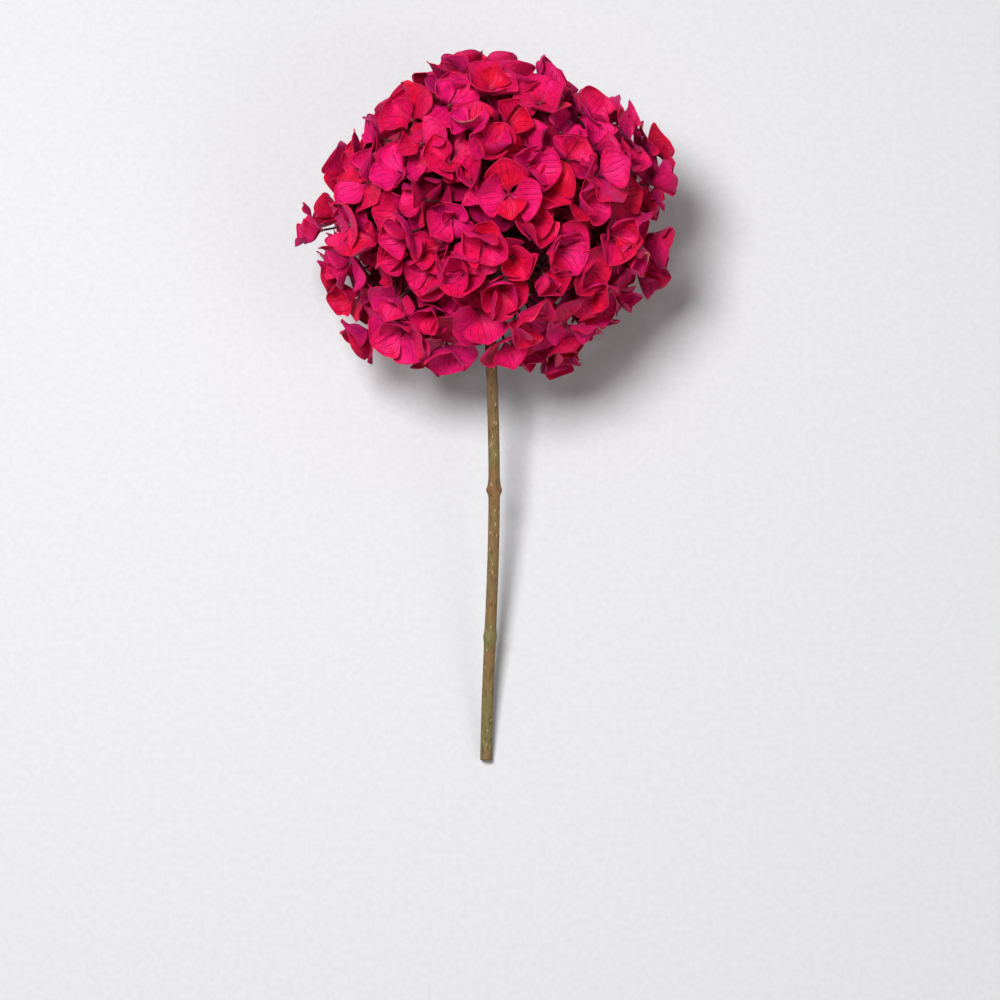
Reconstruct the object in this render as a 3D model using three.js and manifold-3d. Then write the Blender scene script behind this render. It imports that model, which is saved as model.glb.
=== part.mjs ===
// A cut mophead hydrangea lying on a flat surface: a woody stem, the rays that fan out from its top, and
// the cymes, small bunches of four-sepalled florets that together make the domed head.
// Millimetres, +Z up. The stem runs towards -Y and the head is at +Y. The origin is the middle of the
// flower's footprint, on the surface.
import * as THREE from 'three';
import { mergeVertices } from 'three/addons/utils/BufferGeometryUtils.js';
import Module from 'manifold-3d';

const wasm = await Module();
wasm.setup();

// Driving dimensions
const HEAD_HEIGHT = 66; // the middle of the head over the surface
const HEAD_ALONG = 89.64; // the middle of the head along Y
const HEAD_ASIDE = 2.05; // and along X, so that the footprint is centred
const PITCH = THREE.MathUtils.degToRad(14); // the head's axis rises away from the stem's cut end
const HEAD_REACH = 67; // from the middle of the head to a floret
const STEM_TOP = 56; // from the middle of the head down its axis to the top of the stem
const STEM_LENGTH = 205.5;
const STEM_RADIUS = 2.8;
const STEM_STEPS = 14;
const STEM_SWAY = 2; // how far the stem bends aside
const NODE_STEPS = [0, 5, 10]; // where the stem swells: at its top and at two bare nodes
const NODE_SWELLING = 0.8;
const RAY_COUNT = 8;
const RAY_RADIUS = 1.3;
const RAY_ROOT_RADIUS = 1.43;
const RAY_ROOT = 4; // from the top of the stem out to where a ray begins
const RAY_SHORT = 0.32; // how far back towards the stem a ray ends, as a share of the way to its forks
const CYME_COUNT = 50;
const BRANCH_RADIUS = 0.8;
const BRANCH_ROOT = 2.7; // from the end of a ray out to where a branchlet begins
const PEDICEL_RADIUS = 0.55;
const PEDICEL_DROP = 25; // from a cyme's florets in to the fork that carries them
const FLORET_COUNT = 184; // on the whole head, before those of its open underside are left out
const FLORET_RADIUS = 16; // along a sepal of middling size, laid flat
const PLATE_SHARE = 0.8; // of that radius that the cupped floret spans
const SEPAL_LIFT = 0.45; // of the rim over the floret's middle, as a share of what it spans
const SEPAL_THICKNESS = 0.7;
const GAP = 0.35; // between pieces that touch on the real flower

// How much of the head they spread over, from its top: 1 is the upper half and 2 is all of it
const FLORET_SPREAD = 1.956;
const CYME_SPREAD = 1.86;
const RAY_SPREAD = 1.7;
const GOLDEN_ANGLE = Math.PI * (3 - Math.sqrt(5));
const OPEN_ROUND_STEM = 15; // no floret's middle is nearer to the stem than this
const OPEN_ASIDE = 20; // none is this near the middle of the side that lies on the surface
const OPEN_BELOW = 30; // and further than this below the middle of the head
const CYME_TURN = 1; // the first cyme's angle round the head, and the first ray's, in radians
const RAY_TURN = 0.4;

// How unevenly the florets grow
const LAYOUT_SEED = 19;
const UNEVEN = [-0.045, 0.045]; // radians off an even spread
const RAGGED = [-3, 2]; // out from the head's surface
const SIZES = [0.84, 1.14];
const LEANS = [0.1, 1.2]; // radians away from facing straight out
const SHIFTS = [-7.2, 1.8]; // out of the crowd, or into it

// How florets settle beside each other
const ATTEMPTS = 34;
const DISC_SHARE = 0.86; // of a floret's radius that counts as its disc
const NEIGHBOUR_REACH = 2.3; // in floret radii
const LEAN_COST = 0.8; // as much as millimetres of crossing, for each radian
const PARALLEL_SINE = 0.08;
const STACKED_APART = 1.2;
const STACKED_COST = 6;

// Where the head swells or draws in: polar angle from the top, angle round from +X, width, all in degrees,
// and millimetres
const LUMPS = [
  { polar: 66, round: 0, width: 22, swell: 14 },
  { polar: 112, round: 0, width: 20, swell: 8 },
  { polar: 152, round: 15, width: 15, swell: 6 },
  { polar: 106, round: 180, width: 19, swell: 15 },
  { polar: 138, round: 175, width: 15, swell: 9 },
  { polar: 42, round: 180, width: 24, swell: -4 },
  { polar: 34, round: 0, width: 14, swell: -5 },
];

function makeRandom(seed) {
  let state = seed;
  return () => {
    state = (state + 0x6d2b79f5) | 0;
    let t = Math.imul(state ^ (state >>> 15), 1 | state);
    t = (t + Math.imul(t ^ (t >>> 7), 61 | t)) ^ t;
    return ((t ^ (t >>> 14)) >>> 0) / 2 ** 32;
  };
}

const pick = ([from, to], random) => THREE.MathUtils.lerp(from, to, random());

// The head's own axes: Y up through the head, Z out of its upper side, the origin in its middle
function headDirection(polar, round) {
  return new THREE.Vector3(
    Math.sin(polar) * Math.cos(round),
    Math.cos(polar),
    Math.sin(polar) * Math.sin(round),
  );
}

// The polar angle and the angle round of one of many directions spread evenly from the top of the head
function spiral(index, count, spread) {
  return [Math.acos(1 - ((index + 0.5) / count) * spread), index * GOLDEN_ANGLE];
}

const headFrame = new THREE.Matrix4()
  .makeRotationX(PITCH)
  .setPosition(HEAD_ASIDE, HEAD_ALONG, HEAD_HEIGHT);

function headReach(direction) {
  let reach = HEAD_REACH;
  for (const lump of LUMPS) {
    const polar = THREE.MathUtils.degToRad(lump.polar);
    const round = THREE.MathUtils.degToRad(lump.round);
    const away = direction.angleTo(headDirection(polar, round));
    const width = THREE.MathUtils.degToRad(lump.width);
    reach += lump.swell * Math.exp(-((away / width) ** 2));
  }
  return reach;
}

// The underside of the head is open round the stem and along the surface
function isOpen(place) {
  const nearStem = Math.hypot(place.x, place.z) < OPEN_ROUND_STEM && place.y < 0;
  const alongSurface = Math.abs(place.x) < OPEN_ASIDE && place.y < -OPEN_BELOW && place.z < 0;
  return nearStem || alongSurface;
}

function floretPlaces(random) {
  const places = [];
  for (let i = 0; i < FLORET_COUNT; i++) {
    const [polar, round] = spiral(i, FLORET_COUNT, FLORET_SPREAD);
    const direction = headDirection(polar + pick(UNEVEN, random), round + pick(UNEVEN, random));
    const reach = headReach(direction) + pick(RAGGED, random);
    const size = pick(SIZES, random);
    const place = direction.clone().multiplyScalar(reach);
    if (!isOpen(place)) {
      places.push({ place, direction, size });
    }
  }
  return places;
}

const nearestTo = (direction, ways) =>
  ways.reduce((best, way) =>
    way.direction.angleTo(direction) < best.direction.angleTo(direction) ? way : best,
  );

const meanOf = (points) =>
  points.reduce((sum, point) => sum.addScaledVector(point, 1 / points.length), new THREE.Vector3());

// Florets share out among cymes spread evenly over the head: each joins the nearest
function gatherCymes(florets) {
  const cymes = [];
  for (let i = 0; i < CYME_COUNT; i++) {
    const [polar, round] = spiral(i, CYME_COUNT, CYME_SPREAD);
    cymes.push({ direction: headDirection(polar, round + CYME_TURN), florets: [] });
  }
  for (const floret of florets) {
    nearestTo(floret.direction, cymes).florets.push(floret);
  }
  const filled = cymes.filter((cyme) => cyme.florets.length > 0);
  for (const cyme of filled) {
    cyme.fork = meanOf(cyme.florets.map((floret) => floret.place));
    cyme.fork.setLength(cyme.fork.length() - PEDICEL_DROP);
    for (const floret of cyme.florets) {
      floret.fork = cyme.fork;
    }
  }
  return filled;
}

// Cymes share out among the rays in the same way
function gatherRays(cymes) {
  const stemTop = new THREE.Vector3(0, -STEM_TOP, 0);
  const rays = [];
  for (let i = 0; i < RAY_COUNT; i++) {
    const [polar, round] = spiral(i, RAY_COUNT, RAY_SPREAD);
    rays.push({ direction: headDirection(polar, round + RAY_TURN), cymes: [] });
  }
  for (const cyme of cymes) {
    cyme.ray = nearestTo(cyme.direction, rays);
    cyme.ray.cymes.push(cyme);
  }
  for (const ray of rays) {
    ray.end = meanOf(ray.cymes.map((cyme) => cyme.fork)).lerp(stemTop, RAY_SHORT);
    const outward = ray.end.clone().sub(stemTop).normalize();
    ray.start = stemTop.clone().addScaledVector(outward, RAY_ROOT);
  }
  return rays;
}

function solidOf(geometry) {
  geometry.deleteAttribute('normal');
  geometry.deleteAttribute('uv');
  const merged = mergeVertices(geometry, 1e-4);
  const index = merged.index.array;
  const kept = [];
  for (let i = 0; i < index.length; i += 3) {
    const [a, b, c] = index.slice(i, i + 3);
    if (a !== b && b !== c && c !== a) {
      kept.push(a, b, c);
    }
  }
  return new wasm.Manifold(
    new wasm.Mesh({
      numProp: 3,
      vertProperties: new Float32Array(merged.attributes.position.array),
      triVerts: new Uint32Array(kept),
    }),
  );
}

function geometryOf(solid) {
  const mesh = solid.getMesh();
  const geometry = new THREE.BufferGeometry();
  geometry.setAttribute('position', new THREE.BufferAttribute(mesh.vertProperties, 3));
  geometry.setIndex(new THREE.BufferAttribute(mesh.triVerts, 1));
  return geometry;
}

const joined = (solids) => solids.reduce((whole, solid) => whole.add(solid));

// A straight tapered stalk between two points of the head
function stalk(from, to, fromRadius, toRadius, sides) {
  const along = to.clone().sub(from);
  const geometry = new THREE.CylinderGeometry(toRadius, fromRadius, along.length(), sides, 1);
  const turn = new THREE.Quaternion().setFromUnitVectors(
    new THREE.Vector3(0, 1, 0),
    along.clone().normalize(),
  );
  geometry.applyQuaternion(turn);
  const middle = from.clone().add(to).multiplyScalar(0.5);
  geometry.translate(middle.x, middle.y, middle.z);
  geometry.applyMatrix4(headFrame);
  return solidOf(geometry);
}

// The outline of one sepal, from the notch before it: angle in quarter turns, share of the floret's span
const SEPAL_OUTLINE = [
  [-0.5, 0.6],
  [-0.23, 0.96],
  [0.18, 1],
];
const PEDICEL_SIDES = 3;
const BRANCH_SIDES = 4;
const RAY_SIDES = 6;

// A floret on its pedicel: four sepals in one plate that thins to its rim, its outer side facing along the
// attitude's +Z, and a stalk from its back to the fork. Where it would go through the surface it is
// pressed flat against it.
function floretSolid(floret, extra) {
  const reach = floret.size * FLORET_RADIUS * PLATE_SHARE;
  const half = SEPAL_THICKNESS + extra;
  const rim = [];
  for (let sepal = 0; sepal < 4; sepal++) {
    for (const [turn, share] of SEPAL_OUTLINE) {
      const angle = ((sepal + turn) * Math.PI) / 2;
      const out = share * reach + extra;
      const lift = SEPAL_LIFT * share * share * reach;
      rim.push(new THREE.Vector3(out * Math.cos(angle), out * Math.sin(angle), lift));
    }
  }
  const outer = [new THREE.Vector3(0, 0, half), ...rim.map((p) => p.clone().setZ(p.z + extra))];
  const inner = rim.map((p) => p.clone().setZ(p.z - extra));
  const neck = [];
  for (let side = 0; side < PEDICEL_SIDES; side++) {
    const angle = ((side + 0.5) * 2 * Math.PI) / PEDICEL_SIDES;
    const radius = PEDICEL_RADIUS + extra;
    neck.push(new THREE.Vector3(radius * Math.cos(angle), radius * Math.sin(angle), -half));
  }
  const place = (point) =>
    point.clone().applyMatrix4(floret.attitude).add(floret.place).applyMatrix4(headFrame);
  const pedicel = floret.fork.clone().sub(floret.place).transformDirection(headFrame);
  pedicel.setLength(floret.fork.distanceTo(floret.place) + extra);
  const raise = (least) => (point) => point.setZ(Math.max(point.z, least));
  const points = [
    ...outer.map(place).map(raise(-extra)),
    ...inner.map(place).map(raise(extra)),
    ...neck.map(place).map(raise(SEPAL_THICKNESS + extra)),
    ...neck.map((point) => place(point).add(pedicel)),
  ];
  const count = rim.length;
  const root = 1 + 2 * count;
  const faces = [];
  for (let i = 0; i < count; i++) {
    const next = (i + 1) % count;
    const [rimOuter, nextOuter] = [1 + i, 1 + next];
    const [rimInner, nextInner] = [1 + count + i, 1 + count + next];
    const side = Math.floor((i * PEDICEL_SIDES) / count);
    const nextSide = Math.floor((next * PEDICEL_SIDES) / count);
    faces.push(0, rimOuter, nextOuter);
    faces.push(rimOuter, rimInner, nextOuter, nextOuter, rimInner, nextInner);
    faces.push(root + side, nextInner, rimInner);
    if (nextSide !== side) {
      const [here, there] = [root + side, root + nextSide];
      faces.push(here, there, nextInner);
      faces.push(here, here + PEDICEL_SIDES, there, there, here + PEDICEL_SIDES, there + PEDICEL_SIDES);
    }
  }
  const end = root + PEDICEL_SIDES;
  faces.push(end, end + 2, end + 1);
  const geometry = new THREE.BufferGeometry().setFromPoints(points);
  geometry.setIndex(faces);
  return solidOf(geometry);
}

// Axes with Z along a direction, turned about it by spin
function axesAlong(direction, spin) {
  const helper = Math.abs(direction.y) < 0.9 ? new THREE.Vector3(0, 1, 0) : new THREE.Vector3(1, 0, 0);
  const side = helper.cross(direction).normalize();
  const up = direction.clone().cross(side);
  const x = side.clone().multiplyScalar(Math.cos(spin)).addScaledVector(up, Math.sin(spin));
  const y = up.multiplyScalar(Math.cos(spin)).addScaledVector(side, -Math.sin(spin));
  return new THREE.Matrix4().makeBasis(x, y, direction);
}

// How long the cut is where two florets, taken as flat discs, go through each other
function crossing(one, other) {
  const apart = other.place.clone().sub(one.place);
  if (apart.length() > one.radius + other.radius) {
    return 0;
  }
  const line = one.normal.clone().cross(other.normal);
  const sine = line.length();
  if (sine < PARALLEL_SINE) {
    return Math.abs(apart.dot(one.normal)) < STACKED_APART ? STACKED_COST : 0;
  }
  line.divideScalar(sine);
  const height = apart.dot(other.normal) / sine;
  const start = line.clone().cross(one.normal).multiplyScalar(height);
  const spans = [];
  for (const [centre, radius] of [[new THREE.Vector3(), one.radius], [apart, other.radius]]) {
    const along = centre.clone().sub(start).dot(line);
    const off = start.clone().addScaledVector(line, along).distanceTo(centre);
    if (off >= radius) {
      return 0;
    }
    const half = Math.sqrt(radius * radius - off * off);
    spans.push([along - half, along + half]);
  }
  return Math.max(0, Math.min(spans[0][1], spans[1][1]) - Math.max(spans[0][0], spans[1][0]));
}

// Each floret leans and sinks or rises to the freest of a few attitudes beside those already in place
function settleFlorets(florets, random) {
  const settled = [];
  for (const floret of florets) {
    const home = floret.place;
    const radius = floret.size * FLORET_RADIUS * DISC_SHARE;
    const near = settled.filter((other) => other.place.distanceTo(home) < NEIGHBOUR_REACH * FLORET_RADIUS);
    let least = Infinity;
    for (let attempt = 0; attempt < ATTEMPTS; attempt++) {
      const lean = pick(LEANS, random);
      const axes = axesAlong(floret.direction, 2 * Math.PI * random());
      const place = home.clone().addScaledVector(floret.direction, pick(SHIFTS, random));
      const normal = new THREE.Vector3(Math.sin(lean), 0, Math.cos(lean)).applyMatrix4(axes);
      const tried = { place, normal, radius };
      const cost = near.reduce((sum, other) => sum + crossing(tried, other), LEAN_COST * lean);
      if (cost < least) {
        least = cost;
        Object.assign(floret, tried);
      }
    }
    floret.attitude = axesAlong(floret.normal, 2 * Math.PI * random());
    settled.push(floret);
  }
}

// One cyme, or the room that it takes with its clearance
function cymeSolid(cyme, extra) {
  const outward = cyme.fork.clone().sub(cyme.ray.end).normalize();
  const base = cyme.ray.end.clone().addScaledVector(outward, BRANCH_ROOT - extra);
  const solids = [stalk(base, cyme.fork, BRANCH_RADIUS + extra, BRANCH_RADIUS + extra, BRANCH_SIDES)];
  for (const floret of cyme.florets) {
    solids.push(floretSolid(floret, extra));
  }
  return joined(solids);
}

const mainBody = (solid) =>
  solid.decompose().reduce((best, body) => (body.volume() > best.volume() ? body : best));

const boxesMeet = (one, other) =>
  [0, 1, 2].every((i) => one.min[i] <= other.max[i] && other.min[i] <= one.max[i]);

// Cuts a piece back from everything placed before it, then adds its own room to what is placed
function fitAmong(solid, room, placed) {
  const box = solid.boundingBox();
  let fitted = solid;
  for (const other of placed) {
    if (boxesMeet(box, other.box)) {
      fitted = fitted.subtract(other.room);
    }
  }
  placed.push({ room, box: room.boundingBox() });
  return mainBody(fitted);
}

// The stem bends gently, swells at its top and at two bare nodes, and is cut straight across
function stemSolid() {
  const points = [];
  for (let i = 0; i <= STEM_STEPS; i++) {
    const along = i / STEM_STEPS;
    const aside = STEM_SWAY * Math.sin(along * Math.PI * 1.4);
    points.push(new THREE.Vector3(aside, -STEM_TOP - along * STEM_LENGTH, 0).applyMatrix4(headFrame));
  }
  const section = new THREE.Shape().absarc(0, 0, STEM_RADIUS, 0, 2 * Math.PI);
  const tube = solidOf(
    new THREE.ExtrudeGeometry(section, {
      steps: STEM_STEPS,
      curveSegments: 4,
      bevelEnabled: false,
      extrudePath: new THREE.CatmullRomCurve3(points),
    }),
  );
  const swellings = NODE_STEPS.map((step) => {
    const node = new THREE.SphereGeometry(STEM_RADIUS + NODE_SWELLING, 8, 5);
    node.translate(points[step].x, points[step].y, points[step].z);
    return solidOf(node);
  });
  return joined([tube, ...swellings]);
}

const SEPAL_REDS = [0xc0123f, 0xc91a4a, 0xb80f3a, 0xd02458];
const sepalMaterials = SEPAL_REDS.map(
  (color) => new THREE.MeshStandardMaterial({ color, roughness: 0.75, metalness: 0 }),
);
const stemMaterial = new THREE.MeshStandardMaterial({ color: 0x6d6a3f, roughness: 0.8, metalness: 0 });
const rayMaterial = new THREE.MeshStandardMaterial({ color: 0x5a2c30, roughness: 0.8, metalness: 0 });

const flower = new THREE.Group();

function addPiece(name, solid, material) {
  const mesh = new THREE.Mesh(geometryOf(solid), material);
  mesh.name = name;
  flower.add(mesh);
}

const numbered = (word, index) => `${word}_${String(index + 1).padStart(2, '0')}`;

const random = makeRandom(LAYOUT_SEED);
const florets = floretPlaces(random);
settleFlorets(florets, random);
const cymes = gatherCymes(florets);
const rays = gatherRays(cymes);

const placed = [];
const stem = stemSolid();
addPiece('stem', fitAmong(stem, stem, placed), stemMaterial);
rays.forEach((ray, index) => {
  const solid = stalk(ray.start, ray.end, RAY_ROOT_RADIUS, RAY_RADIUS, RAY_SIDES);
  const room = stalk(ray.start, ray.end, RAY_ROOT_RADIUS + GAP, RAY_RADIUS + GAP, RAY_SIDES);
  addPiece(numbered('ray', index), fitAmong(solid, room, placed), rayMaterial);
});
cymes.forEach((cyme, index) => {
  const solid = fitAmong(cymeSolid(cyme, 0), cymeSolid(cyme, GAP), placed);
  addPiece(numbered('cyme', index), solid, sepalMaterials[index % SEPAL_REDS.length]);
});

export default flower;
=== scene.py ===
"""A cut mophead hydrangea lying on a pale floor: a bare woody stem, rays and pedicels, and a head of
crimson-pink florets, each of four thin sepals round a small closed bud."""

import math

import bpy
import numpy as np
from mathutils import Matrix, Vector


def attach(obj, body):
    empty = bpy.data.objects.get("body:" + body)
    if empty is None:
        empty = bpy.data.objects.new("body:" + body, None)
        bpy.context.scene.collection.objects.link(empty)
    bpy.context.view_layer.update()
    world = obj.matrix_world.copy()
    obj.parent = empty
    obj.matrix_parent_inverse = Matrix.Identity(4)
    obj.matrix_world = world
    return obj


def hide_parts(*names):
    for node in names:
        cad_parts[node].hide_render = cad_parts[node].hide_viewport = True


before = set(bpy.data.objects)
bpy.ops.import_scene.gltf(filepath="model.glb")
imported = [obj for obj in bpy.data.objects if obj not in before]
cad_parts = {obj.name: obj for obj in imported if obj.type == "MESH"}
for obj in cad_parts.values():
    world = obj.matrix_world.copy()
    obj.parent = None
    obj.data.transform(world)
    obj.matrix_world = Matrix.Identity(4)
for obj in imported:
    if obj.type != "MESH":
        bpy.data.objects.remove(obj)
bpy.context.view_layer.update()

MM = 0.001

# The head as the CAD model lays it out, in millimetres
HEAD_MIDDLE = np.array([2.05, 89.64, 66.0])
PITCH = math.radians(14)
HEAD_REACH = 67
STEM_TOP = 56
STEM_LENGTH = 205.5
STEM_RADIUS = 2.8
STEM_SWAY = 2
RAY_COUNT = 8
RAY_RADIUS = 1.3
RAY_SHORT = 0.32  # how far back towards the stem a ray ends, as a share of the way to its forks
CYME_COUNT = 50
BRANCH_RADIUS = 0.8
PEDICEL_RADIUS = 0.5
PEDICEL_DROP = 25  # from a cyme's outer florets in to the fork that carries them
FLORET_RADIUS = 16
# layers of florets: how many, how much of the head they spread over, how far inside the outer layer
LAYERS = [(184, 1.956, 0), (92, 1.866, 12)]
CYME_SPREAD = 1.86
RAY_SPREAD = 1.7
GOLDEN_ANGLE = math.pi * (3 - math.sqrt(5))
CYME_TURN = 1
RAY_TURN = 0.4
# no floret's middle is this near to the stem, or to the middle of the side that lies on the surface,
# and the head is hollow behind the outer florets near the stem
OPEN_ROUND_STEM = 15
OPEN_ASIDE = 20
OPEN_BELOW = 30
HOLLOW_MIDDLE = 4
HOLLOW_ASIDE = 20
HOLLOW_BELOW = 12

# How unevenly the florets grow, and how they settle beside each other
LAYOUT_SEED = 19
UNEVEN = (-0.045, 0.045)
RAGGED = (-3, 2)
SIZES = (0.84, 1.14)
LEANS = (0.1, 1.2)
SHIFTS = (-7.2, 1.8)
ATTEMPTS = 34
DISC_SHARE = 0.86
NEIGHBOUR_REACH = 2.3
LEAN_COST = 0.8
PARALLEL_SINE = 0.08
STACKED_APART = 1.2
STACKED_COST = 6

# where the head swells or draws in: polar angle from the top, angle round from +X, width, swell
LUMPS = [
    (66, 0, 22, 14),
    (112, 0, 20, 8),
    (152, 15, 15, 6),
    (106, 180, 19, 15),
    (138, 175, 15, 9),
    (42, 180, 24, -4),
    (34, 0, 14, -5),
]

# Sepals, in millimetres
SEPAL_THICKNESS = 0.26
CLAW_LENGTH = 0.15  # of a sepal's length
CLAW_WIDTH = 0.07  # of its half width
TIP_WIDTH = 0.035
ROWS = 15  # of the grid on each side of a sepal
COLUMNS = 12
ROWS_CROWD = 1.35  # how much closer together they are towards the tip
COLUMNS_CROWD = 0.92  # and towards the edges
# the blade's faint puckers: how deep, how fast they come across it and along it
PUCKERS = [(0.38, 4.2, 4.5), (0.14, 11, 7.5)]
# of the two crossed pairs of sepals in a floret, the upper one is smaller, stands higher and opens less
UPPER_REACH = 0.94
UPPER_RISE = 0.35
UPPER_LIFT = 0.07
STUNTED_SHARE = 0.1  # of all sepals
STUNTED_REACH = 0.72
PRESSED_WRINKLE = 0.02  # how far a sepal pressed against the surface still stands off it
SHADED_INSET = 16  # how far inside the head a floret is wholly in its own shade

# Stalks, buds and stem, in millimetres
BUD_RADIUS = (0.65, 0.95)
PEDICEL_START = 0.35  # behind the middle of its floret
STALK_CLEARANCE = 0.2  # the least height of a stalk's surface over the one it lies on
BUD_CLEARANCE = 0.1
# the stem's nodes: how far down it, as a share of its length, and the way that their leaf scars face
STEM_NODES = [(0.0, 0.4), (0.36, 1.9), (0.71, 0.4)]
NODE_LENGTH = 0.014
NODE_SWELLING = 0.5
SCAR_BELOW = 0.008
SCAR_LENGTH = 0.008
SCAR_WIDTH = 0.5
SCAR_SWELLING = 0.9
# the cut end, from the bark in to the pith: how far out, as a share of the radius, and how deep
CUT_RINGS = [(0.98, 0.0), (0.9, 0.0), (0.84, 0.12), (0.6, 0.1), (0.4, 0.15), (0.32, 0.5), (0.12, 0.6)]
ON_BARK = 2.0  # the share out from the pith that the bark's own points have

# Camera, in metres
CAMERA_ELEVATION = math.radians(80)
CAMERA_DISTANCE = 1.5
CAMERA_LENS = 113.4
AIM_BELOW_HEAD = 0.1357
AIM_ASIDE = 0.0048


class Random:
    """The CAD model's own generator, so that every floret has its place there."""

    MASK = 0xFFFFFFFF

    def __init__(self, seed):
        self.state = seed

    def draw(self):
        self.state = (self.state + 0x6D2B79F5) & self.MASK
        t = self.state
        t = ((t ^ (t >> 15)) * (1 | t)) & self.MASK
        t = ((t + (((t ^ (t >> 7)) * (61 | t)) & self.MASK)) & self.MASK) ^ t
        return (t ^ (t >> 14)) / 2**32

    def pick(self, bounds):
        low, high = bounds
        return low + (high - low) * self.draw()


def unit(v):
    return v / np.linalg.norm(v)


def head_direction(polar, around):
    """A direction in the head's own axes: Y up through the head, Z out of its upper side."""
    return np.array(
        [math.sin(polar) * math.cos(around), math.cos(polar), math.sin(polar) * math.sin(around)]
    )


def angle_between(a, b):
    return math.acos(max(-1.0, min(1.0, float(a @ b))))


def head_reach(direction):
    reach = HEAD_REACH
    for polar, around, width, swell in LUMPS:
        away = angle_between(direction, head_direction(math.radians(polar), math.radians(around)))
        reach += swell * math.exp(-((away / math.radians(width)) ** 2))
    return reach


def spiral(index, count, spread):
    """The polar angle and the angle round of one of count directions spread evenly from the head's top."""
    return math.acos(1 - ((index + 0.5) / count) * spread), index * GOLDEN_ANGLE


def is_open(place, inset):
    x, y, z = place
    near_stem = math.hypot(x, z) < OPEN_ROUND_STEM and y < 0
    along_surface = abs(x) < OPEN_ASIDE and y < -OPEN_BELOW and z < 0
    within = inset > 0 and abs(x - HOLLOW_MIDDLE) < HOLLOW_ASIDE and y < -HOLLOW_BELOW
    return near_stem or along_surface or within


def floret_places(count, spread, inset, random):
    florets = []
    for i in range(count):
        polar, around = spiral(i, count, spread)
        polar += random.pick(UNEVEN)
        direction = head_direction(polar, around + inset + random.pick(UNEVEN))
        reach = head_reach(direction) - inset + random.pick(RAGGED)
        size = random.pick(SIZES)
        place = direction * reach
        if not is_open(place, inset):
            florets.append({"place": place, "direction": direction, "size": size, "inset": inset})
    return florets


def join_nearest(florets, cymes):
    for floret in florets:
        nearest = min(cymes, key=lambda cyme: angle_between(cyme["direction"], floret["direction"]))
        nearest["florets"].append(floret)


def gather_cymes(florets):
    """The outer florets share out among cymes spread evenly over the head, and the inner ones join them."""
    cymes = []
    for i in range(CYME_COUNT):
        polar, around = spiral(i, CYME_COUNT, CYME_SPREAD)
        cymes.append({"direction": head_direction(polar, around + CYME_TURN), "florets": []})
    join_nearest([floret for floret in florets if not floret["inset"]], cymes)
    cymes = [cyme for cyme in cymes if cyme["florets"]]
    for cyme in cymes:
        middle = sum(floret["place"] for floret in cyme["florets"]) / len(cyme["florets"])
        cyme["fork"] = unit(middle) * (np.linalg.norm(middle) - PEDICEL_DROP)
    join_nearest([floret for floret in florets if floret["inset"]], cymes)
    return cymes


def gather_rays(cymes):
    stem_top = np.array([0.0, -STEM_TOP, 0.0])
    rays = []
    for i in range(RAY_COUNT):
        polar, around = spiral(i, RAY_COUNT, RAY_SPREAD)
        rays.append({"direction": head_direction(polar, around + RAY_TURN), "cymes": []})
    for cyme in cymes:
        nearest = min(rays, key=lambda ray: angle_between(ray["direction"], cyme["direction"]))
        nearest["cymes"].append(cyme)
    for ray in rays:
        middle = sum(cyme["fork"] for cyme in ray["cymes"]) / len(ray["cymes"])
        ray["end"] = middle + RAY_SHORT * (stem_top - middle)
        ray["start"] = stem_top
    return rays


COS_PITCH, SIN_PITCH = math.cos(PITCH), math.sin(PITCH)
HEAD_TURN = np.array([[1, 0, 0], [0, COS_PITCH, -SIN_PITCH], [0, SIN_PITCH, COS_PITCH]])


def to_row(points):
    """Points of the head, in millimetres, as places in the row frame, still in millimetres."""
    return np.asarray(points) @ HEAD_TURN.T + HEAD_MIDDLE


def frame_along(normal, spin):
    """Three axes as columns: two across and the normal, turned about it by spin."""
    helper = np.array([0, 1, 0]) if abs(normal[1]) < 0.9 else np.array([1, 0, 0])
    side = unit(np.cross(helper, normal))
    up = np.cross(normal, side)
    c, s = math.cos(spin), math.sin(spin)
    return np.stack([side * c + up * s, up * c - side * s, normal], axis=1)


def crossing(one, other):
    """How long the cut is where two florets, taken as flat discs, go through each other."""
    apart = other["place"] - one["place"]
    reach = one["radius"] + other["radius"]
    if apart @ apart > reach * reach:
        return 0.0
    line = np.cross(one["normal"], other["normal"])
    length = np.linalg.norm(line)
    if length < PARALLEL_SINE:
        return STACKED_COST if abs(apart @ one["normal"]) < STACKED_APART else 0.0
    line /= length
    start = np.linalg.solve(
        np.stack([one["normal"], other["normal"], line]),
        np.array([0.0, apart @ other["normal"], 0.0]),
    )
    spans = []
    for centre, radius in ((np.zeros(3), one["radius"]), (apart, other["radius"])):
        along = (centre - start) @ line
        off = np.linalg.norm(start + line * along - centre)
        if off >= radius:
            return 0.0
        half = math.sqrt(radius * radius - off * off)
        spans.append((along - half, along + half))
    return max(0.0, min(spans[0][1], spans[1][1]) - max(spans[0][0], spans[1][0]))


def settle_florets(florets, settled, random):
    """Each floret leans and sinks or rises to the freest of a few attitudes beside those in place."""
    for floret in florets:
        home = floret["place"]
        radius = floret["size"] * FLORET_RADIUS * DISC_SHARE
        reach = NEIGHBOUR_REACH * FLORET_RADIUS
        near = [other for other in settled if np.linalg.norm(other["place"] - home) < reach]
        least = math.inf
        for _ in range(ATTEMPTS):
            lean = random.pick(LEANS)
            axes = frame_along(floret["direction"], 2 * math.pi * random.draw())
            place = home + floret["direction"] * random.pick(SHIFTS)
            normal = axes @ np.array([math.sin(lean), 0, math.cos(lean)])
            tried = {"place": place, "normal": normal, "radius": radius}
            cost = sum(crossing(tried, other) for other in near) + LEAN_COST * lean
            if cost < least:
                least = cost
                floret.update(tried)
        floret["spin"] = 2 * math.pi * random.draw()
        settled.append(floret)


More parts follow.
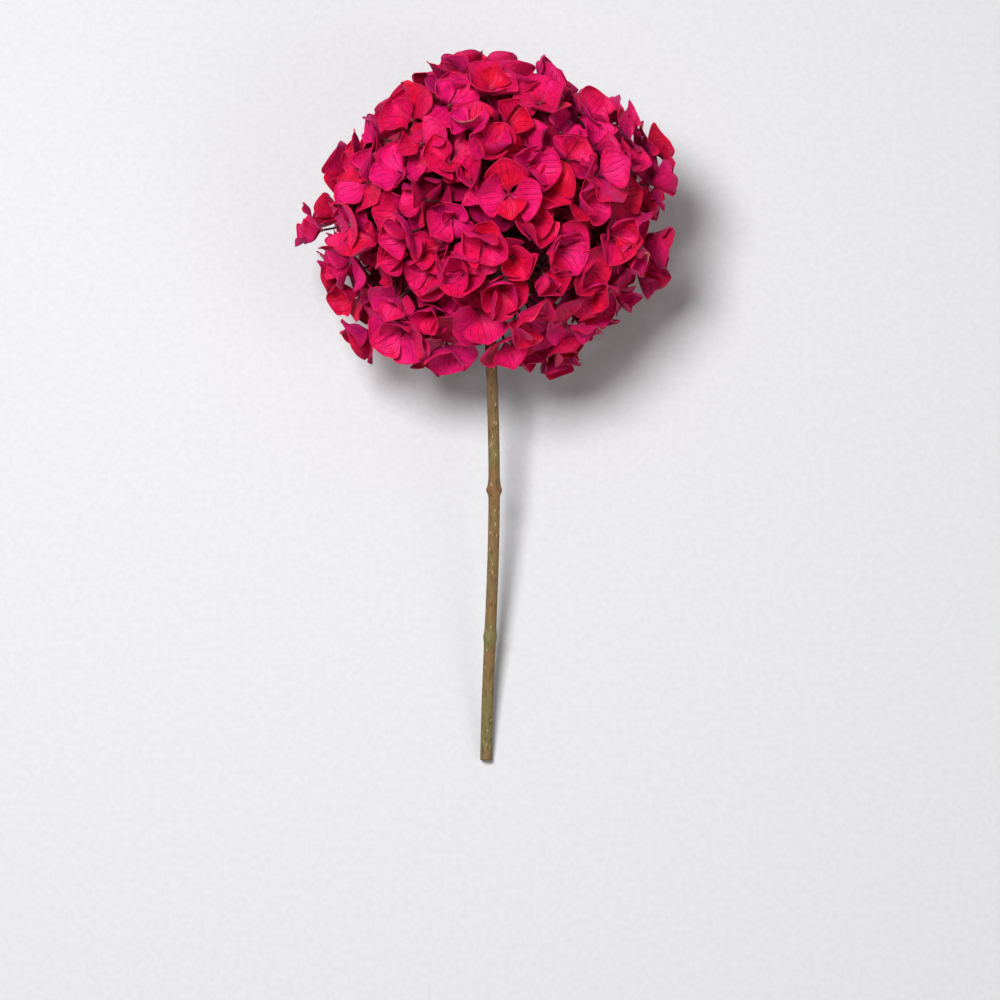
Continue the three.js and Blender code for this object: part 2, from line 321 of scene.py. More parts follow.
def lay_out(seed):
    """Every floret in its place, layer by layer, gathered into cymes and those on rays."""
    random = Random(seed)
    florets = []
    for layer in LAYERS:
        settle_florets(floret_places(*layer, random), florets, random)
    cymes = gather_cymes(florets)
    return cymes, gather_rays(cymes)


# Meshes ---------------------------------------------------------------------------------------------


def new_piece(name, points, faces, material, values=None, sharp=None, uv=None):
    """A mesh object from points in row-frame millimetres. values: a dict of one number per point."""
    mesh = bpy.data.meshes.new(name)
    mesh.from_pydata((np.asarray(points) * MM).tolist(), [], faces)
    for key, numbers in (values or {}).items():
        mesh.attributes.new(key, "FLOAT", "POINT").data.foreach_set(
            "value", np.asarray(numbers, np.float32)
        )
    mesh.polygons.foreach_set("use_smooth", [True] * len(mesh.polygons))
    if sharp is not None:
        edges = np.empty(len(mesh.edges) * 2, np.int32)
        mesh.edges.foreach_get("vertices", edges)
        edges = edges.reshape(-1, 2)
        marks = sharp[edges[:, 0]] & sharp[edges[:, 1]]
        mesh.attributes.new("sharp_edge", "BOOLEAN", "EDGE").data.foreach_set("value", marks)
    if uv is not None:
        loops = np.empty(len(mesh.loops), np.int32)
        mesh.loops.foreach_get("vertex_index", loops)
        layer = mesh.uv_layers.new(name="OFBake")
        layer.data.foreach_set("uv", np.asarray(uv, np.float32)[loops].ravel())
    mesh.materials.append(material)
    piece = bpy.data.objects.new(name, mesh)
    bpy.context.scene.collection.objects.link(piece)
    return piece


# Sepals ---------------------------------------------------------------------------------------------

# fractions along a sepal, closer together towards its tip, and across it from edge to edge
ALONG = 1 - (1 - np.linspace(0, 1, ROWS)) ** ROWS_CROWD
EDGE_ANGLE = math.pi / 2 * COLUMNS_CROWD
ACROSS = np.sin(np.linspace(-1, 1, COLUMNS) * math.pi / 2 * COLUMNS_CROWD) / math.sin(EDGE_ANGLE)


def half_width(u, widest, bluntness, roundness):
    """A sepal's half width along it, 1 at its widest: a narrow claw, full shoulders, a blunt tip."""
    rise = np.clip((u - CLAW_LENGTH) / (widest - CLAW_LENGTH), 0, 1)
    fall = np.clip((u - widest) / (1 - widest), 0, 1)
    shoulder = CLAW_WIDTH + (1 - CLAW_WIDTH) * np.sin(rise * math.pi / 2)
    tip = (1 - fall**bluntness) ** roundness
    return np.where(u < widest, shoulder, np.maximum(tip, TIP_WIDTH))


def sepal_shape(rng, floret, turn, lift, habit):
    """The grid of one sepal's middle surface in the floret's own axes, Z outward, in millimetres."""
    length = floret["size"] * FLORET_RADIUS * turn["reach"]
    width = length * turn["breadth"]
    u, v = np.meshgrid(ALONG, ACROSS, indexing="ij")
    rise = lift + habit["curl"] * ALONG**1.6
    steps = np.diff(ALONG, prepend=0) * length
    run = np.cumsum(np.cos(rise) * steps)[:, None]
    climb = np.cumsum(np.sin(rise) * steps)[:, None]
    half = half_width(ALONG, turn["widest"], turn["bluntness"], turn["roundness"])[:, None] * width / 2
    cup = habit["cup"] * (0.35 + 0.65 * ALONG[:, None])
    cup = np.where(np.abs(cup) < 1e-3, 1e-3, cup)
    side = half * np.sin(cup * v) / cup
    deep = half * (1 - np.cos(cup * v)) / cup
    skew = turn["skew"] * half * np.sin(math.pi * u)
    # the margins wave, each in its own rhythm, and the blade is faintly puckered between its veins
    phase = rng.uniform(0, 2 * math.pi, 6)
    edge = np.abs(v) ** 2.4
    margin = np.where(v < 0, phase[0], phase[1])
    wave = habit["ruffle"] * half * edge * np.sin(2 * math.pi * habit["waves"] * u + margin)
    pucker = np.zeros_like(u)
    for number, (depth, pace_across, pace_along) in enumerate(PUCKERS):
        first, second = phase[2 + 2 * number], phase[3 + 2 * number]
        pucker += depth * np.sin(pace_across * v + first) * np.sin(pace_along * u + second)
    crease = habit["crease"] * half * np.abs(v) * np.sin(math.pi * np.clip(u * 1.15, 0, 1))
    across = side + skew
    away = deep + wave + pucker * np.sin(math.pi * np.clip(u, 0, 1)) ** 0.5 + crease
    twist = habit["twist"] * u**1.3
    aside = across * np.cos(twist) - away * np.sin(twist)
    away = across * np.sin(twist) + away * np.cos(twist)
    x = run - away * np.sin(rise)[:, None]
    z = climb + away * np.cos(rise)[:, None]
    c, s = math.cos(turn["angle"]), math.sin(turn["angle"])
    return np.stack([x * c - aside * s, x * s + aside * c, z], axis=-1)


def normals_of(grid):
    du = np.gradient(grid, axis=0)
    dv = np.gradient(grid, axis=1)
    n = np.cross(du, dv)
    return n / np.maximum(np.linalg.norm(n, axis=-1, keepdims=True), 1e-9)


def sheet_faces():
    """Faces of a closed thin sheet: outer grid, inner grid, and the rim between them."""
    count = ROWS * COLUMNS
    at = np.arange(count).reshape(ROWS, COLUMNS)
    a, b, c, d = at[:-1, :-1], at[:-1, 1:], at[1:, 1:], at[1:, :-1]
    outer = np.stack([d, c, b, a], axis=-1).reshape(-1, 4)
    inner = np.stack([a, b, c, d], axis=-1).reshape(-1, 4) + count
    ring = np.concatenate([at[0, :], at[1:, -1], at[-1, -2::-1], at[-2:0:-1, 0]])
    following = np.roll(ring, -1)
    rim = np.stack([ring, following, following + count, ring + count], axis=-1)
    return np.concatenate([outer, inner, rim]), ring


SHEET_FACES, SHEET_RING = sheet_faces()

HABITS = [
    # share, lift, curl, cup, ruffle, twist, crease
    (0.30, (0.0, 0.4), (-0.2, 0.5), (0.2, 0.9), (0.06, 0.18), 0.25, (0.0, 0.12)),
    (0.34, (0.5, 1.15), (-0.1, 0.9), (0.5, 1.4), (0.06, 0.2), 0.35, (0.0, 0.2)),
    (0.16, (-0.3, 0.2), (-1.4, -0.4), (-0.8, 0.6), (0.06, 0.2), 0.4, (-0.1, 0.15)),
    (0.20, (0.3, 1.2), (-0.4, 0.8), (1.2, 2.3), (0.1, 0.3), 0.9, (0.1, 0.4)),
]


def pick_habit(rng):
    share = rng.uniform()
    for part, lift, curl, cup, ruffle, twist, crease in HABITS:
        if share < part:
            break
        share -= part
    return {
        "lift": rng.uniform(*lift),
        "curl": rng.uniform(*curl),
        "cup": rng.uniform(*cup),
        "ruffle": rng.uniform(*ruffle),
        "waves": rng.uniform(0.9, 2.1),
        "twist": rng.uniform(-twist, twist),
        "crease": rng.uniform(*crease),
    }


def floret_sepals(floret, rng):
    """Two crossed pairs of sepals."""
    axes = frame_along(floret["normal"], floret["spin"])
    common = pick_habit(rng)
    sheets = []
    for k in range(4):
        upper = k % 2 == 1
        own = pick_habit(rng)
        mix = rng.uniform(0.4, 0.95)
        habit = {key: common[key] * (1 - mix) + own[key] * mix for key in common}
        turn = {
            "angle": k * math.pi / 2 + rng.normal(0, 0.09),
            "reach": rng.uniform(0.88, 1.1) * (UPPER_REACH if upper else 1.0),
            "breadth": rng.uniform(1.15, 1.45),
            "widest": rng.uniform(0.5, 0.63),
            "bluntness": rng.uniform(1.7, 2.6),
            "roundness": rng.uniform(0.6, 0.9),
            "skew": rng.uniform(-0.18, 0.18),
        }
        if rng.uniform() < STUNTED_SHARE:
            turn["reach"] *= STUNTED_REACH
        grid = sepal_shape(rng, floret, turn, habit["lift"] + (UPPER_LIFT if upper else 0), habit)
        grid[..., 2] += UPPER_RISE if upper else 0.0
        normals = normals_of(grid)
        thick = SEPAL_THICKNESS / 2
        sides = [grid + normals * thick, grid - normals * thick]
        placed = [to_row(side.reshape(-1, 3) @ axes.T + floret["place"]) for side in sides]
        sheets.append({"sides": placed, "tone": rng.uniform()})
    return sheets


def press_flat(sides):
    """Where the head lies on its sepals they are pressed against the surface."""
    one, two = sides
    lower = np.minimum(one[:, 2], two[:, 2])
    upper = np.maximum(one[:, 2], two[:, 2])
    swapped = one[:, 2] > two[:, 2]
    lower = np.where(lower < 0, PRESSED_WRINKLE * np.tanh(-lower), lower)
    upper = np.maximum(upper, lower + SEPAL_THICKNESS * 0.5)
    one[:, 2] = np.where(swapped, upper, lower)
    two[:, 2] = np.where(swapped, lower, upper)


def sepal_piece(name, cyme, material, rng):
    points, faces, sharp, uv = [], [], [], []
    values = {"along": [], "across": [], "back": [], "tone": [], "warmth": [], "inner": []}
    sheets = []
    for floret in cyme["florets"]:
        warmth = rng.uniform()
        for sheet in floret_sepals(floret, rng):
            sheet["warmth"] = warmth
            # how deep in the head the floret sits, which sets its painted shade
            sheet["inner"] = min(1.0, floret["inset"] / SHADED_INSET)
            sheets.append(sheet)
    u, v = (g.ravel() for g in np.meshgrid(ALONG, ACROSS, indexing="ij"))
    ring = np.zeros(ROWS * COLUMNS, bool)
    ring[SHEET_RING] = True
    cells = math.ceil(math.sqrt(2 * len(sheets)))
    start = 0
    for number, sheet in enumerate(sheets):
        press_flat(sheet["sides"])
        for back, side in enumerate(sheet["sides"]):
            points.append(side)
            sharp.append(ring)
            values["along"].append(u)
            values["across"].append(v)
            values["back"].append(np.full(u.size, float(back)))
            values["tone"].append(np.full(u.size, sheet["tone"]))
            values["warmth"].append(np.full(u.size, sheet["warmth"]))
            values["inner"].append(np.full(u.size, sheet["inner"]))
            row, column = divmod(2 * number + back, cells)
            place = np.stack([(v + 1) / 2, u], axis=-1) * 0.9 + 0.05
            uv.append((place + [column, row]) / cells)
        faces.append(SHEET_FACES + start)
        start += 2 * u.size
    return new_piece(
        name,
        np.concatenate(points),
        np.concatenate(faces).tolist(),
        material,
        {key: np.concatenate(parts) for key, parts in values.items()},
        np.concatenate(sharp),
        np.concatenate(uv),
    )


# Stalks, buds and stem --------------------------------------------------------------------------------


def bezier(a, b, c, d, count):
    t = np.linspace(0, 1, count)[:, None]
    return (1 - t) ** 3 * a + 3 * (1 - t) ** 2 * t * b + 3 * (1 - t) * t**2 * c + t**3 * d


def tube(path, radii, sides):
    """Points and faces of a closed tube along a path; radii are per path point, or per point and side."""
    path = np.asarray(path, float)
    radii = np.broadcast_to(np.asarray(radii, float).reshape(len(path), -1), (len(path), sides))
    tangents = np.gradient(path, axis=0)
    tangents /= np.linalg.norm(tangents, axis=1, keepdims=True)
    helper = np.array([1.0, 0, 0]) if abs(tangents[0][0]) < 0.8 else np.array([0, 0, 1.0])
    side = unit(np.cross(tangents[0], helper))
    angles = np.arange(sides) * 2 * math.pi / sides
    points = []
    for centre, tangent, radius in zip(path, tangents, radii):
        side = unit(side - tangent * (side @ tangent))
        other = np.cross(tangent, side)
        ring = np.cos(angles)[:, None] * side + np.sin(angles)[:, None] * other
        points.append(centre + ring * radius[:, None])
    faces = []
    for i in range(len(path) - 1):
        for k in range(sides):
            a, b = i * sides + k, i * sides + (k + 1) % sides
            faces.append((a, b, b + sides, a + sides))
    last = (len(path) - 1) * sides
    points = np.concatenate([np.concatenate(points), path[:1], path[-1:]])
    first_middle, last_middle = len(points) - 2, len(points) - 1
    for k in range(sides):
        nearby = (k + 1) % sides
        faces.append((nearby, k, first_middle))
        faces.append((last + k, last + nearby, last_middle))
    return points, faces


def bud_shape(radius):
    """A closed four-lobed bud with a small point, standing on the origin along Z."""
    rows, sides = 9, 12
    points = [np.array([0, 0, -0.4 * radius])]
    for i in range(1, rows):
        polar = math.pi * (1 - i / rows)
        for k in range(sides):
            around = 2 * math.pi * k / sides
            out = radius * math.sin(polar) * (1 + 0.13 * math.cos(4 * around))
            z = radius * (0.6 + math.cos(polar) * (1 + 0.25 * (i / rows) ** 4))
            points.append(np.array([out * math.cos(around), out * math.sin(around), z]))
    points.append(np.array([0, 0, radius * 1.95]))
    faces = []
    for k in range(sides):
        nearby = (k + 1) % sides
        faces.append((0, 1 + nearby, 1 + k))
        for i in range(rows - 2):
            a, b = 1 + i * sides + k, 1 + i * sides + nearby
            faces.append((a, b, b + sides, a + sides))
        top = 1 + (rows - 2) * sides
        faces.append((top + k, top + nearby, len(points) - 1))
    return np.array(points), faces


def gathered(parts):
    """Several closed shapes as one mesh."""
    points, faces, start = [], [], 0
    for part_points, part_faces in parts:
        points.append(part_points)
        faces += [tuple(index + start for index in face) for face in part_faces]
        start += len(part_points)
    return np.concatenate(points), faces


def stalk_parts(ray, rng):
    """A ray, the branchlets at its end and the pedicels of their florets."""
    stem_top = ray["start"]
    out = unit(ray["end"] - stem_top)
    reach = np.linalg.norm(ray["end"] - stem_top)
    bow = rng.normal(0, 1.6, 3)
    middle = (ray["end"] + stem_top) / 2 + bow
    up = np.array([0.0, 1.0, 0.0])
    path = bezier(stem_top + out * 0.5, stem_top + up * reach * 0.3, middle, ray["end"], 14)
    t = np.linspace(0, 1, 14)
    radii = RAY_RADIUS * (1.12 - 0.22 * t + 0.5 * np.exp(-((t / 0.12) ** 2)) + 0.3 * t**8)
    parts = [tube(to_row(path), radii, 10)]
    for cyme in ray["cymes"]:
        fork = cyme["fork"]
        along = fork - ray["end"]
        length = np.linalg.norm(along)
        knee = ray["end"] + out * length * 0.35 + rng.normal(0, 0.8, 3)
        near = fork - unit(fork) * length * 0.35 + rng.normal(0, 0.6, 3)
        t = np.linspace(0, 1, 10)
        radii = BRANCH_RADIUS * (1.1 - 0.2 * t + 0.45 * t**6)
        parts.append(tube(to_row(bezier(ray["end"], knee, near, fork, 10)), radii, 8))
        for floret in cyme["florets"]:
            back = floret["place"] - floret["normal"] * PEDICEL_START
            away = np.linalg.norm(back - fork)
            knee = fork + unit(fork) * away * 0.32
            near = back - floret["normal"] * away * 0.4
            t = np.linspace(0, 1, 10)
            radii = PEDICEL_RADIUS * (1.15 - 0.25 * t + 0.35 * t**9)
            parts.append(tube(to_row(bezier(fork, knee, near, back, 10)), radii, 6))
    for points, _ in parts:
        points[:, 2] = np.maximum(points[:, 2], STALK_CLEARANCE)
    return parts


def bud_parts(ray, rng):
    parts = []
    for cyme in ray["cymes"]:
        for floret in cyme["florets"]:
            points, faces = bud_shape(rng.uniform(*BUD_RADIUS))
            axes = frame_along(floret["normal"], rng.uniform(0, math.pi))
            points = to_row(points @ axes.T + floret["place"])
            points[:, 2] = np.maximum(points[:, 2], BUD_CLEARANCE)
            parts.append((points, faces))
    return parts


def stem_shape():
    """The bare stem from the rays down to the cut end, with its swollen nodes and their leaf scars.

    Also gives, for each point, how far down the stem it is, and on the cut end how far out from the pith.
    """
    steps, sides = 190, 28
    t = np.linspace(0, 1, steps)
    sway = STEM_SWAY * np.sin(t * math.pi * 1.4)
    path = np.stack([sway, -STEM_TOP - t * STEM_LENGTH, np.zeros(steps)], axis=1)
    angles = np.arange(sides) * 2 * math.pi / sides
    radii = np.full((steps, sides), STEM_RADIUS)
    radii *= 1 + 0.05 * (t[:, None] - 0.5)
    ridges = 0.018 * np.sin(6 * angles + 1.3) + 0.012 * np.sin(11 * angles)
    radii += STEM_RADIUS * ridges[None, :] * (1 + 0.4 * np.sin(9 * t[:, None]))
    for place, facing in STEM_NODES:
        near = np.exp(-(((t - place) / NODE_LENGTH) ** 2))
        radii += NODE_SWELLING * near[:, None]
        below = np.exp(-(((t - place - SCAR_BELOW) / SCAR_LENGTH) ** 2))
        for side in (0, math.pi):
            turned = np.angle(np.exp(1j * (angles - facing - side)))
            facing_it = np.exp(-((turned / SCAR_WIDTH) ** 2))
            radii += SCAR_SWELLING * below[:, None] * facing_it[None, :]
    points, faces = tube(to_row(path), radii, sides)
    # the flat fan that closes the cut end gives way to rings: bark, wood and a sunken pith
    points = points[:-1]
    length = np.append(np.repeat(t, sides), 0)
    faces = [face for face in faces if len(points) not in face]
    last = (steps - 1) * sides
    rim = points[last : last + sides]
    middle = rim.mean(axis=0)
    inward = unit(points[last - sides : last].mean(axis=0) - middle)
    pith = np.full(len(points), ON_BARK)
    start = len(points)
    for share, depth in CUT_RINGS:
        points = np.concatenate([points, middle + (rim - middle) * share + inward * depth])
        pith = np.append(pith, np.full(sides, share))
    points = np.concatenate([points, [middle + inward * depth]])
    pith = np.append(pith, 0.0)
    length = np.append(length, np.ones(len(points) - len(length)))
    for k in range(sides):
        nearby = (k + 1) % sides
        faces.append((last + k, last + nearby, start + nearby, start + k))
        for ring in range(len(CUT_RINGS) - 1):
            a, b = start + ring * sides + k, start + ring * sides + nearby
            faces.append((a, b, b + sides, a + sides))
        innermost = start + (len(CUT_RINGS) - 1) * sides
        faces.append((innermost + k, innermost + nearby, len(points) - 1))
    return points, faces, {"length": length, "pith": pith}


# Materials --------------------------------------------------------------------------------------------


class Look:
    """A material with one Principled shader, and short calls for the nodes that drive it."""

    def __init__(self, name):
        self.material = bpy.data.materials.new(name)
        self.material.use_nodes = True
        self.tree = self.material.node_tree
        self.shader = self.tree.nodes["Principled BSDF"]

    def node(self, kind, inputs=(), **settings):
        made = self.tree.nodes.new(kind)
        for key, value in settings.items():
            setattr(made, key, value)
        for key, value in dict(inputs).items():
            self.feed(made.inputs[key], value)
        return made

    def feed(self, socket, value):
        if isinstance(value, bpy.types.NodeSocket):
            self.tree.links.new(value, socket)
        else:
            socket.default_value = value

    def value(self, attribute):
        return self.node("ShaderNodeAttribute", attribute_name=attribute).outputs["Fac"]

    def math(self, operation, a, b=0.0):
        return self.node("ShaderNodeMath", {0: a, 1: b}, operation=operation).outputs[0]

    def ramp(self, value, low, high, to_low=0.0, to_high=1.0):
        inputs = {"Value": value, "From Min": low, "From Max": high, "To Min": to_low, "To Max": to_high}
        return self.node("ShaderNodeMapRange", inputs, interpolation_type="SMOOTHSTEP").outputs[0]

    def noise(self, scale, detail, roughness, place, distortion=0.0):
        inputs = {"Vector": place, "Scale": scale, "Detail": detail}
        inputs |= {"Roughness": roughness, "Distortion": distortion}
        return self.node("ShaderNodeTexNoise", inputs).outputs["Fac"]

    def place(self):
        return self.node("ShaderNodeTexCoord").outputs["Object"]

    def mix(self, share, a, b, blend="MIX"):
        made = self.tree.nodes.new("ShaderNodeMix")
        made.data_type = "RGBA"
        made.blend_type = blend
        share_socket, a_socket, b_socket = made.inputs[0], made.inputs[6], made.inputs[7]
        self.feed(share_socket, share)
        self.feed(a_socket, a)
        self.feed(b_socket, b)
        return made.outputs[2]

    def bump(self, height, distance, strength):
        inputs = {"Height": height, "Distance": distance, "Strength": strength}
        return self.node("ShaderNodeBump", inputs).outputs["Normal"]

    def set(self, **sockets):
        names = {"base": "Base Color", "sheen": "Sheen Weight", "specular": "Specular IOR Level"}
        for key, value in sockets.items():
            name = names.get(key, key.replace("_", " ").title())
            self.feed(self.shader.inputs[name], value)


def srgb(red, green, blue):
    linear = [c / 12.92 if c <= 0.04045 else ((c + 0.055) / 1.055) ** 2.4 for c in (red, green, blue)]
    return (*linear, 1.0)


def vein_lines(look, v, count, wander, thin, wide):
    """Lines that fan out from a sepal's claw: 1 on a vein, 0 between."""
    shifted = look.math("ADD", look.math("MULTIPLY", v, count), look.math("MULTIPLY", wander, 0.5))
    cycle = look.math("FRACT", look.math("ADD", shifted, 50.5))
    away = look.math("ABSOLUTE", look.math("SUBTRACT", cycle, 0.5))
    return look.ramp(away, thin, wide, 1.0, 0.0)


def sepal_look():
    look = Look("sepals")
    u, v, back = look.value("along"), look.value("across"), look.value("back")
    tone, warmth = look.value("tone"), look.value("warmth")
    place = look.place()
    cloud = look.noise(45, 3, 0.6, place)
    fine = look.noise(620, 4, 0.65, place)
    edge = look.math("ABSOLUTE", v)
    # crimson where a sepal is young or thick, hot pink where it has faded
    pinkness = look.math("ADD", look.math("MULTIPLY", tone, 0.55), look.math("MULTIPLY", warmth, 0.45))
    pinkness = look.math("ADD", pinkness, look.math("MULTIPLY", look.math("SUBTRACT", cloud, 0.5), 1.5))
    pinkness = look.ramp(pinkness, 0.1, 1.05)
    front = look.mix(pinkness, srgb(0.87, 0.03, 0.14), srgb(0.92, 0.06, 0.43))
    under = look.mix(pinkness, srgb(0.79, 0.03, 0.18), srgb(0.84, 0.10, 0.40))
    colour = look.mix(back, front, under)
    # veins darken the blade, and painted shade deepens it towards the claw, where the sepals meet
    wander = look.noise(160, 2, 0.5, place)
    main = vein_lines(look, v, 3.5, wander, 0.02, 0.075)
    branches = vein_lines(look, v, 9.5, wander, 0.03, 0.14)
    branches = look.math("MULTIPLY", branches, look.ramp(u, 0.25, 0.55))
    veins = look.math("MAXIMUM", main, look.math("MULTIPLY", branches, 0.55))
    veins = look.math("MULTIPLY", veins, look.ramp(u, 0.7, 1.0, 1.0, 0.35))
    colour = look.mix(look.math("MULTIPLY", veins, 0.44), colour, srgb(0.50, 0.0, 0.09))
    # painted shade in the floret's middle, darkest at the claw
    claw = look.ramp(u, 0.05, 0.42, 0.85, 0.0)
    colour = look.mix(look.math("MULTIPLY", claw, 0.75), colour, srgb(0.44, 0.0, 0.05))
    # a thin, lighter, warmer rim: partly the sepal's own paler margin, partly a painted highlight along its
    # edge
    side_rim = look.ramp(edge, 0.92, 0.995)
    tip_rim = look.ramp(u, 0.965, 0.998)
    rim = look.math("MULTIPLY", look.math("MAXIMUM", side_rim, tip_rim), look.ramp(u, 0.1, 0.35))
    colour = look.mix(look.math("MULTIPLY", rim, 0.6), colour, srgb(0.92, 0.12, 0.24))
    blotch = look.ramp(look.noise(190, 3, 0.6, place), 0.3, 0.7, 0.78, 1.08)
    mottle = look.math("MULTIPLY", look.ramp(fine, 0.35, 0.7, 0.82, 1.1), blotch)
    shade = look.node("ShaderNodeCombineColor", {0: mottle, 1: mottle, 2: mottle}).outputs[0]
    colour = look.mix(1.0, colour, shade, "MULTIPLY")
    # a few tips have dried to tan
    dry = look.math("GREATER_THAN", tone, 0.993)
    dry = look.math("MULTIPLY", dry, look.ramp(u, 0.72, 1.0))
    colour = look.mix(look.math("MULTIPLY", dry, 0.8), colour, srgb(0.80, 0.55, 0.42))
    # florets deep in the head darken to maroon: painted shade inside the head
    colour = look.mix(look.math("MULTIPLY", look.value("inner"), 0.7), colour, srgb(0.42, 0.0, 0.07))
    height = look.math("SUBTRACT", look.math("MULTIPLY", fine, 0.3), look.math("MULTIPLY", veins, 0.8))
    height = look.math("ADD", height, look.noise(240, 3, 0.55, place, 0.8))
    look.set(
        base=colour,
        roughness=look.ramp(fine, 0.3, 0.7, 0.42, 0.6),
        specular=0.42,
        specular_tint=srgb(1.0, 0.60, 0.97),
        sheen=0.22,
        sheen_roughness=0.45,
        sheen_tint=srgb(1.0, 0.25, 0.80),
        normal=look.bump(height, 0.0008, 0.75),
    )
    return look.material


def stalk_look():
    look = Look("stalks")
    place = look.place()
    patch = look.ramp(look.noise(70, 3, 0.6, place), 0.35, 0.7)
    fine = look.noise(900, 3, 0.6, place)
    colour = look.mix(patch, srgb(0.22, 0.06, 0.08), srgb(0.34, 0.17, 0.14))
    colour = look.mix(look.ramp(fine, 0.4, 0.7, 0.0, 0.5), colour, srgb(0.13, 0.04, 0.06))
    look.set(
        base=colour,
        roughness=look.ramp(fine, 0.3, 0.7, 0.6, 0.85),
        specular=0.3,
        normal=look.bump(fine, 0.0002, 0.6),
    )
    return look.material


def bud_look():
    look = Look("buds")
    place = look.place()
    patch = look.ramp(look.noise(500, 3, 0.6, place), 0.35, 0.65)
    fine = look.noise(1800, 2, 0.5, place)
    colour = look.mix(patch, srgb(0.36, 0.22, 0.13), srgb(0.32, 0.08, 0.09))
    look.set(
        base=colour,
        roughness=look.ramp(fine, 0.3, 0.7, 0.4, 0.6),
        specular=0.4,
        normal=look.bump(fine, 0.00015, 0.6),
    )
    return look.material


def stem_look():
    look = Look("stem")
    place = look.place()
    length = look.value("length")
    pith = look.value("pith")
    stretched = look.node(
        "ShaderNodeMapping", {"Vector": place, "Scale": (1.0, 0.12, 1.0)}, vector_type="POINT"
    ).outputs[0]
    grain = look.noise(900, 5, 0.65, stretched)
    broad = look.noise(40, 3, 0.55, place)
    colour = look.mix(look.ramp(broad, 0.35, 0.7), srgb(0.45, 0.42, 0.24), srgb(0.50, 0.36, 0.22))
    colour = look.mix(look.ramp(length, 0.0, 0.35, 0.7, 0.0), colour, srgb(0.40, 0.19, 0.15))
    colour = look.mix(look.ramp(length, 0.0, 0.07, 0.85, 0.0), colour, srgb(0.25, 0.08, 0.09))
    colour = look.mix(look.ramp(grain, 0.45, 0.7, 0.0, 0.75), colour, srgb(0.28, 0.20, 0.12))
    speckled = look.node(
        "ShaderNodeMapping", {"Vector": place, "Scale": (1.0, 0.45, 1.0)}, vector_type="POINT"
    ).outputs[0]
    spots = look.node("ShaderNodeTexVoronoi", {"Vector": speckled, "Scale": 420.0}).outputs["Distance"]
    lenticel = look.ramp(spots, 0.12, 0.24, 1.0, 0.0)
    colour = look.mix(look.math("MULTIPLY", lenticel, 0.8), colour, srgb(0.68, 0.60, 0.44))
    wood = look.mix(look.ramp(pith, 0.25, 0.45), srgb(0.90, 0.86, 0.72), srgb(0.70, 0.62, 0.40))
    bark = look.ramp(pith, 0.82, 0.95)
    colour = look.mix(look.ramp(pith, 1.0, 1.05, 1.0, 0.0), colour, look.mix(bark, wood, colour))
    height = look.math("ADD", look.math("MULTIPLY", grain, -0.6), look.math("MULTIPLY", lenticel, 0.8))
    look.set(
        base=colour,
        roughness=look.ramp(grain, 0.3, 0.7, 0.55, 0.8),
        specular=0.35,
        normal=look.bump(height, 0.0003, 0.8),
    )
    return look.material


def floor_look():
    look = Look("floor")
    fine = look.noise(350, 3, 0.5, look.place())
    look.set(
        base=look.mix(look.ramp(fine, 0.3, 0.7), srgb(0.80, 0.80, 0.81), srgb(0.82, 0.82, 0.83)),
        roughness=0.7,
        specular=0.2,
    )
    return look.material


# The flower -------------------------------------------------------------------------------------------

cymes, rays = lay_out(LAYOUT_SEED)

sepals_look, stalks_look, buds_look, bark_look = sepal_look(), stalk_look(), bud_look(), stem_look()


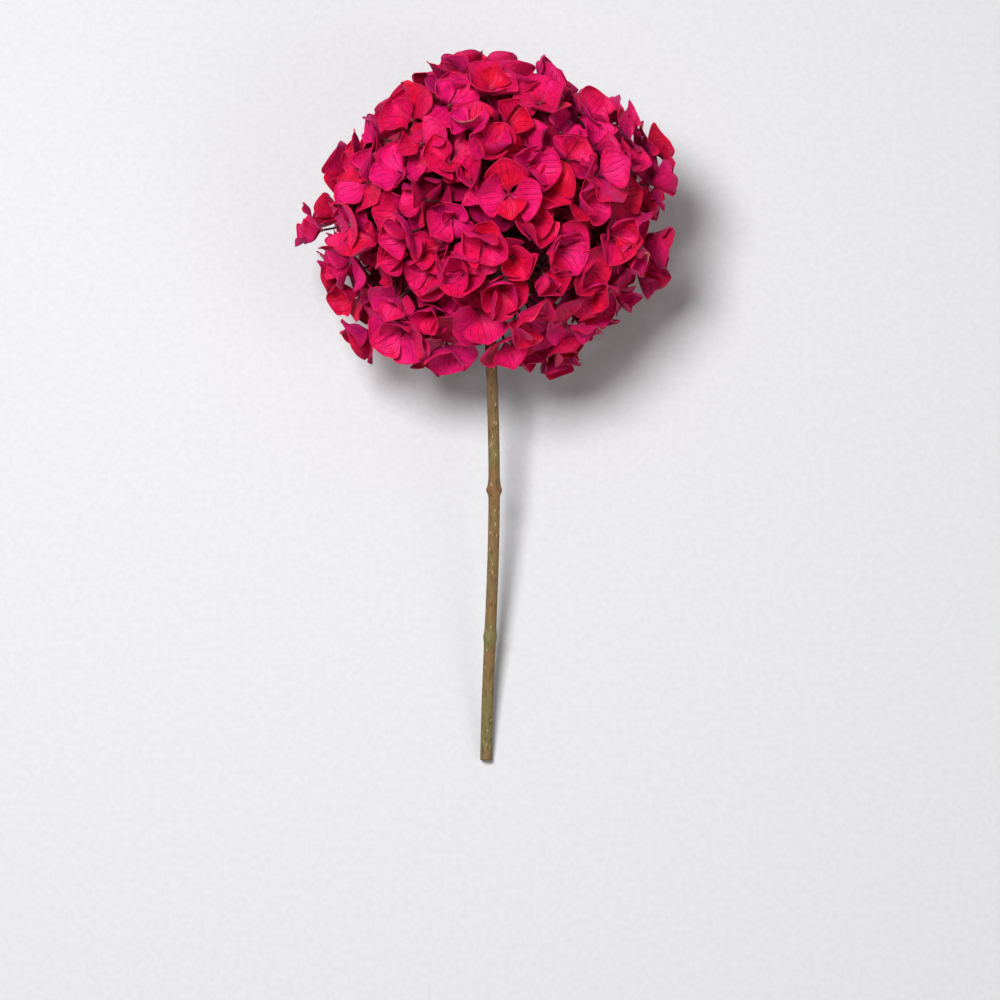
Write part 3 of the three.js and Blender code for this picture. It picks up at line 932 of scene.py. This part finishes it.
def add_flower():
    for number, cyme in enumerate(cymes, 1):
        rng = np.random.default_rng(100 + number)
        piece = sepal_piece(f"sepals_{number:02d}", cyme, sepals_look, rng)
        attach(piece, "root")
        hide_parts(f"cyme_{number:02d}")
    for number, ray in enumerate(rays, 1):
        rng = np.random.default_rng(300 + number)
        points, faces = gathered(stalk_parts(ray, rng))
        stalks = new_piece(f"stalks_{number:02d}", points, faces, stalks_look)
        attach(stalks, "root")
        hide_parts(f"ray_{number:02d}")
        points, faces = gathered(bud_parts(ray, rng))
        buds = new_piece(f"buds_{number:02d}", points, faces, buds_look)
        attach(buds, "root")
    points, faces, values = stem_shape()
    points[:, 2] = np.maximum(points[:, 2], 0.0)
    stem = new_piece("cut_stem", points, faces, bark_look, values)
    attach(stem, "root")
    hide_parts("stem")


add_flower()

# Floor, lights and camera -----------------------------------------------------------------------------


def add_floor():
    size = 6.0
    mesh = bpy.data.meshes.new("floor")
    corners = [(-size, -size, 0), (size, -size, 0), (size, size, 0), (-size, size, 0)]
    mesh.from_pydata(corners, [], [(0, 1, 2, 3)])
    mesh.materials.append(floor_look())
    floor = bpy.data.objects.new("floor", mesh)
    bpy.context.scene.collection.objects.link(floor)


def turn_to(direction):
    return Vector(direction).to_track_quat("-Z", "Y").to_euler()


def add_light(name, place, target, size, power):
    light = bpy.data.lights.new(name, "AREA")
    light.shape = "DISK"
    light.size = size
    light.energy = power
    lamp = bpy.data.objects.new(name, light)
    lamp.location = place
    lamp.rotation_euler = turn_to(np.asarray(target) - np.asarray(place))
    bpy.context.scene.collection.objects.link(lamp)


def add_camera():
    """Looks down on the lying flower from a little way round towards the stem."""
    cos, sin = math.cos(CAMERA_ELEVATION), math.sin(CAMERA_ELEVATION)
    towards = np.array([0, -cos, sin])
    up = np.array([0, sin, cos])
    target = HEAD_MIDDLE * MM - up * AIM_BELOW_HEAD + np.array([AIM_ASIDE, 0, 0])
    camera = bpy.data.cameras.new("camera")
    camera.sensor_width = 36
    camera.lens = CAMERA_LENS
    camera.clip_end = 20
    eye = bpy.data.objects.new("camera", camera)
    eye.location = target + towards * CAMERA_DISTANCE
    eye.rotation_euler = turn_to(-towards)
    bpy.context.scene.collection.objects.link(eye)
    bpy.context.scene.camera = eye


def add_world():
    world = bpy.data.worlds.new("studio")
    world.use_nodes = True
    background = world.node_tree.nodes["Background"]
    background.inputs["Color"].default_value = (1.0, 0.99, 0.98, 1.0)
    background.inputs["Strength"].default_value = 0.2
    bpy.context.scene.world = world


add_floor()
head = HEAD_MIDDLE * MM
add_light("key", (-0.42, 0.2, 1.6), head, 0.6, 31.5)
add_light("fill", (0.9, -0.6, 1.1), head, 0.9, 4)
add_camera()
add_world()
bpy.context.scene.view_settings.view_transform = "Standard"

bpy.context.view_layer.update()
